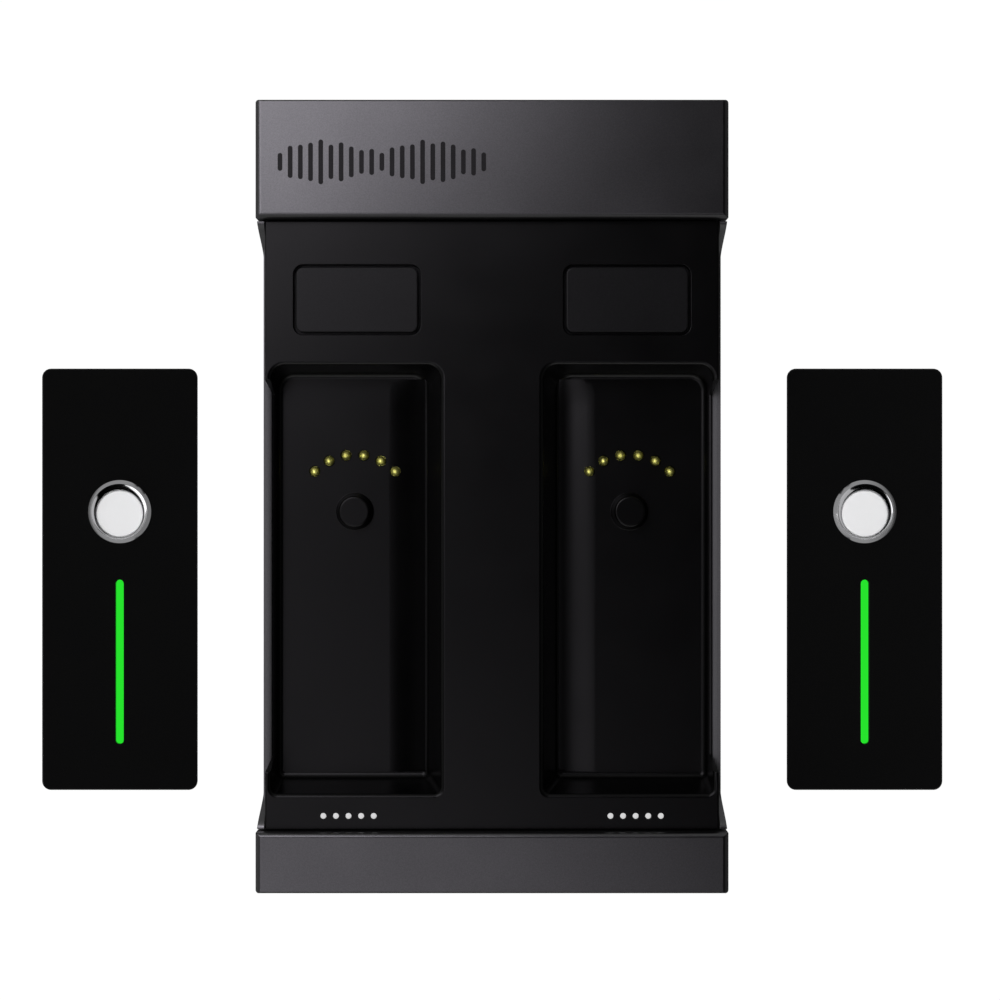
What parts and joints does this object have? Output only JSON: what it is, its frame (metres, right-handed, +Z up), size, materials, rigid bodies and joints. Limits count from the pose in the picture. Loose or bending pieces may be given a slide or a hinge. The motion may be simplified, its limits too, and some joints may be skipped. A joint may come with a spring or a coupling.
{
  "type": "wireless transmitter set with charging dock",
  "caption": "Flat metal-ended charging dock with two recessed bays, sprung contacts, deck keys and rear jacks, and two pocket transmitters beside it with a round button and light bar.",
  "frame": {"origin": "middle of the bounding box in X and Y, on the surface the set stands on", "axes": "+X from the left transmitter across the dock to the right one, +Y along the dock towards its rear jacks, +Z up"},
  "size_m": [0.1764, 0.1514, 0.027],
  "materials": {
    "graphite_metal": "fine satin metallic graphite",
    "black_plastic": "fine matt moulding",
    "key_black": "fine matt moulding",
    "transmitter_black": "soft satin",
    "rubber": "matt",
    "steel": "plated",
    "gold": "gold plated",
    "chrome": "polished",
    "button_silver": "pale satin",
    "lamp_white": "frosted light guide",
    "lamp_green": "frosted light guide, lit green",
    "board_green": "solder mask",
    "battery_wrap": "shrink film",
    "magnet_nickel": "nickel plated"
  },
  "bodies": {
    "dock": {"chassis_pan": "graphite_metal", "head_cover": "graphite_metal", "foot_cover": "graphite_metal", "tray": "black_plastic", "rear_panel": "black_plastic", "main_board": "board_green", "radio_shield": "steel", "usb_socket": "steel", "phono_jack_1": "gold", "phono_jack_2": "gold", "phono_jack_3": "gold", "phono_jack_4": "gold", "case_screw_1": "steel", "case_screw_2": "steel", "case_screw_3": "steel", "case_screw_4": "steel", "rubber_foot_back_left": "rubber", "rubber_foot_back_right": "rubber", "rubber_foot_front_left": "rubber", "rubber_foot_front_right": "rubber", "light_pipe_left": "lamp_white", "contact_carrier_left": "black_plastic", "bay_magnet_left": "magnet_nickel", "light_pipe_right": "lamp_white", "contact_carrier_right": "black_plastic", "bay_magnet_right": "magnet_nickel"},
    "deck_key_left": {"deck_key_left": "key_black"},
    "contact_pin_left_1": {"contact_pin_left_1": "gold"},
    "contact_pin_left_2": {"contact_pin_left_2": "gold"},
    "contact_pin_left_3": {"contact_pin_left_3": "gold"},
    "contact_pin_left_4": {"contact_pin_left_4": "gold"},
    "contact_pin_left_5": {"contact_pin_left_5": "gold"},
    "contact_pin_left_6": {"contact_pin_left_6": "gold"},
    "transmitter_left": {"transmitter_left_shell": "transmitter_black", "transmitter_left_base": "transmitter_black", "transmitter_left_bezel": "chrome", "transmitter_left_light_bar": "lamp_green", "transmitter_left_board": "board_green", "transmitter_left_battery": "battery_wrap", "transmitter_left_contacts": "gold", "transmitter_left_switch": "steel", "transmitter_left_magnet": "magnet_nickel"},
    "transmitter_left_button": {"transmitter_left_button": "button_silver"},
    "deck_key_right": {"deck_key_right": "key_black"},
    "contact_pin_right_1": {"contact_pin_right_1": "gold"},
    "contact_pin_right_2": {"contact_pin_right_2": "gold"},
    "contact_pin_right_3": {"contact_pin_right_3": "gold"},
    "contact_pin_right_4": {"contact_pin_right_4": "gold"},
    "contact_pin_right_5": {"contact_pin_right_5": "gold"},
    "contact_pin_right_6": {"contact_pin_right_6": "gold"},
    "transmitter_right": {"transmitter_right_shell": "transmitter_black", "transmitter_right_base": "transmitter_black", "transmitter_right_bezel": "chrome", "transmitter_right_light_bar": "lamp_green", "transmitter_right_board": "board_green", "transmitter_right_battery": "battery_wrap", "transmitter_right_contacts": "gold", "transmitter_right_switch": "steel", "transmitter_right_magnet": "magnet_nickel"},
    "transmitter_right_button": {"transmitter_right_button": "button_silver"}
  },
  "joints": [
    {"name": "deck_key_left_press", "type": "slide", "parent": "dock", "child": "deck_key_left", "axis": [0, 0, -1], "range_m": [0, 0.0008], "stiffness_N_per_m": 300, "springref_m": -0.0015},
    {"name": "contact_pin_left_1_press", "type": "slide", "parent": "dock", "child": "contact_pin_left_1", "axis": [0, 0, -1], "range_m": [0, 0.0008], "stiffness_N_per_m": 300, "springref_m": -0.001},
    {"name": "contact_pin_left_2_press", "type": "slide", "parent": "dock", "child": "contact_pin_left_2", "axis": [0, 0, -1], "range_m": [0, 0.0008], "stiffness_N_per_m": 300, "springref_m": -0.001},
    {"name": "contact_pin_left_3_press", "type": "slide", "parent": "dock", "child": "contact_pin_left_3", "axis": [0, 0, -1], "range_m": [0, 0.0008], "stiffness_N_per_m": 300, "springref_m": -0.001},
    {"name": "contact_pin_left_4_press", "type": "slide", "parent": "dock", "child": "contact_pin_left_4", "axis": [0, 0, -1], "range_m": [0, 0.0008], "stiffness_N_per_m": 300, "springref_m": -0.001},
    {"name": "contact_pin_left_5_press", "type": "slide", "parent": "dock", "child": "contact_pin_left_5", "axis": [0, 0, -1], "range_m": [0, 0.0008], "stiffness_N_per_m": 300, "springref_m": -0.001},
    {"name": "contact_pin_left_6_press", "type": "slide", "parent": "dock", "child": "contact_pin_left_6", "axis": [0, 0, -1], "range_m": [0, 0.0008], "stiffness_N_per_m": 300, "springref_m": -0.001},
    {"name": "transmitter_left_lift", "type": "slide", "parent": "dock", "child": "transmitter_left", "axis": [0, 0, 1], "range_m": [0, 0.06]},
    {"name": "transmitter_left_button_press", "type": "slide", "parent": "transmitter_left", "child": "transmitter_left_button", "axis": [0, 0, -1], "range_m": [0, 0.0004], "stiffness_N_per_m": 600, "springref_m": -0.001},
    {"name": "deck_key_right_press", "type": "slide", "parent": "dock", "child": "deck_key_right", "axis": [0, 0, -1], "range_m": [0, 0.0008], "stiffness_N_per_m": 300, "springref_m": -0.0015},
    {"name": "contact_pin_right_1_press", "type": "slide", "parent": "dock", "child": "contact_pin_right_1", "axis": [0, 0, -1], "range_m": [0, 0.0008], "stiffness_N_per_m": 300, "springref_m": -0.001},
    {"name": "contact_pin_right_2_press", "type": "slide", "parent": "dock", "child": "contact_pin_right_2", "axis": [0, 0, -1], "range_m": [0, 0.0008], "stiffness_N_per_m": 300, "springref_m": -0.001},
    {"name": "contact_pin_right_3_press", "type": "slide", "parent": "dock", "child": "contact_pin_right_3", "axis": [0, 0, -1], "range_m": [0, 0.0008], "stiffness_N_per_m": 300, "springref_m": -0.001},
    {"name": "contact_pin_right_4_press", "type": "slide", "parent": "dock", "child": "contact_pin_right_4", "axis": [0, 0, -1], "range_m": [0, 0.0008], "stiffness_N_per_m": 300, "springref_m": -0.001},
    {"name": "contact_pin_right_5_press", "type": "slide", "parent": "dock", "child": "contact_pin_right_5", "axis": [0, 0, -1], "range_m": [0, 0.0008], "stiffness_N_per_m": 300, "springref_m": -0.001},
    {"name": "contact_pin_right_6_press", "type": "slide", "parent": "dock", "child": "contact_pin_right_6", "axis": [0, 0, -1], "range_m": [0, 0.0008], "stiffness_N_per_m": 300, "springref_m": -0.001},
    {"name": "transmitter_right_lift", "type": "slide", "parent": "dock", "child": "transmitter_right", "axis": [0, 0, 1], "range_m": [0, 0.06]},
    {"name": "transmitter_right_button_press", "type": "slide", "parent": "transmitter_right", "child": "transmitter_right_button", "axis": [0, 0, -1], "range_m": [0, 0.0004], "stiffness_N_per_m": 600, "springref_m": -0.001}
  ]
}
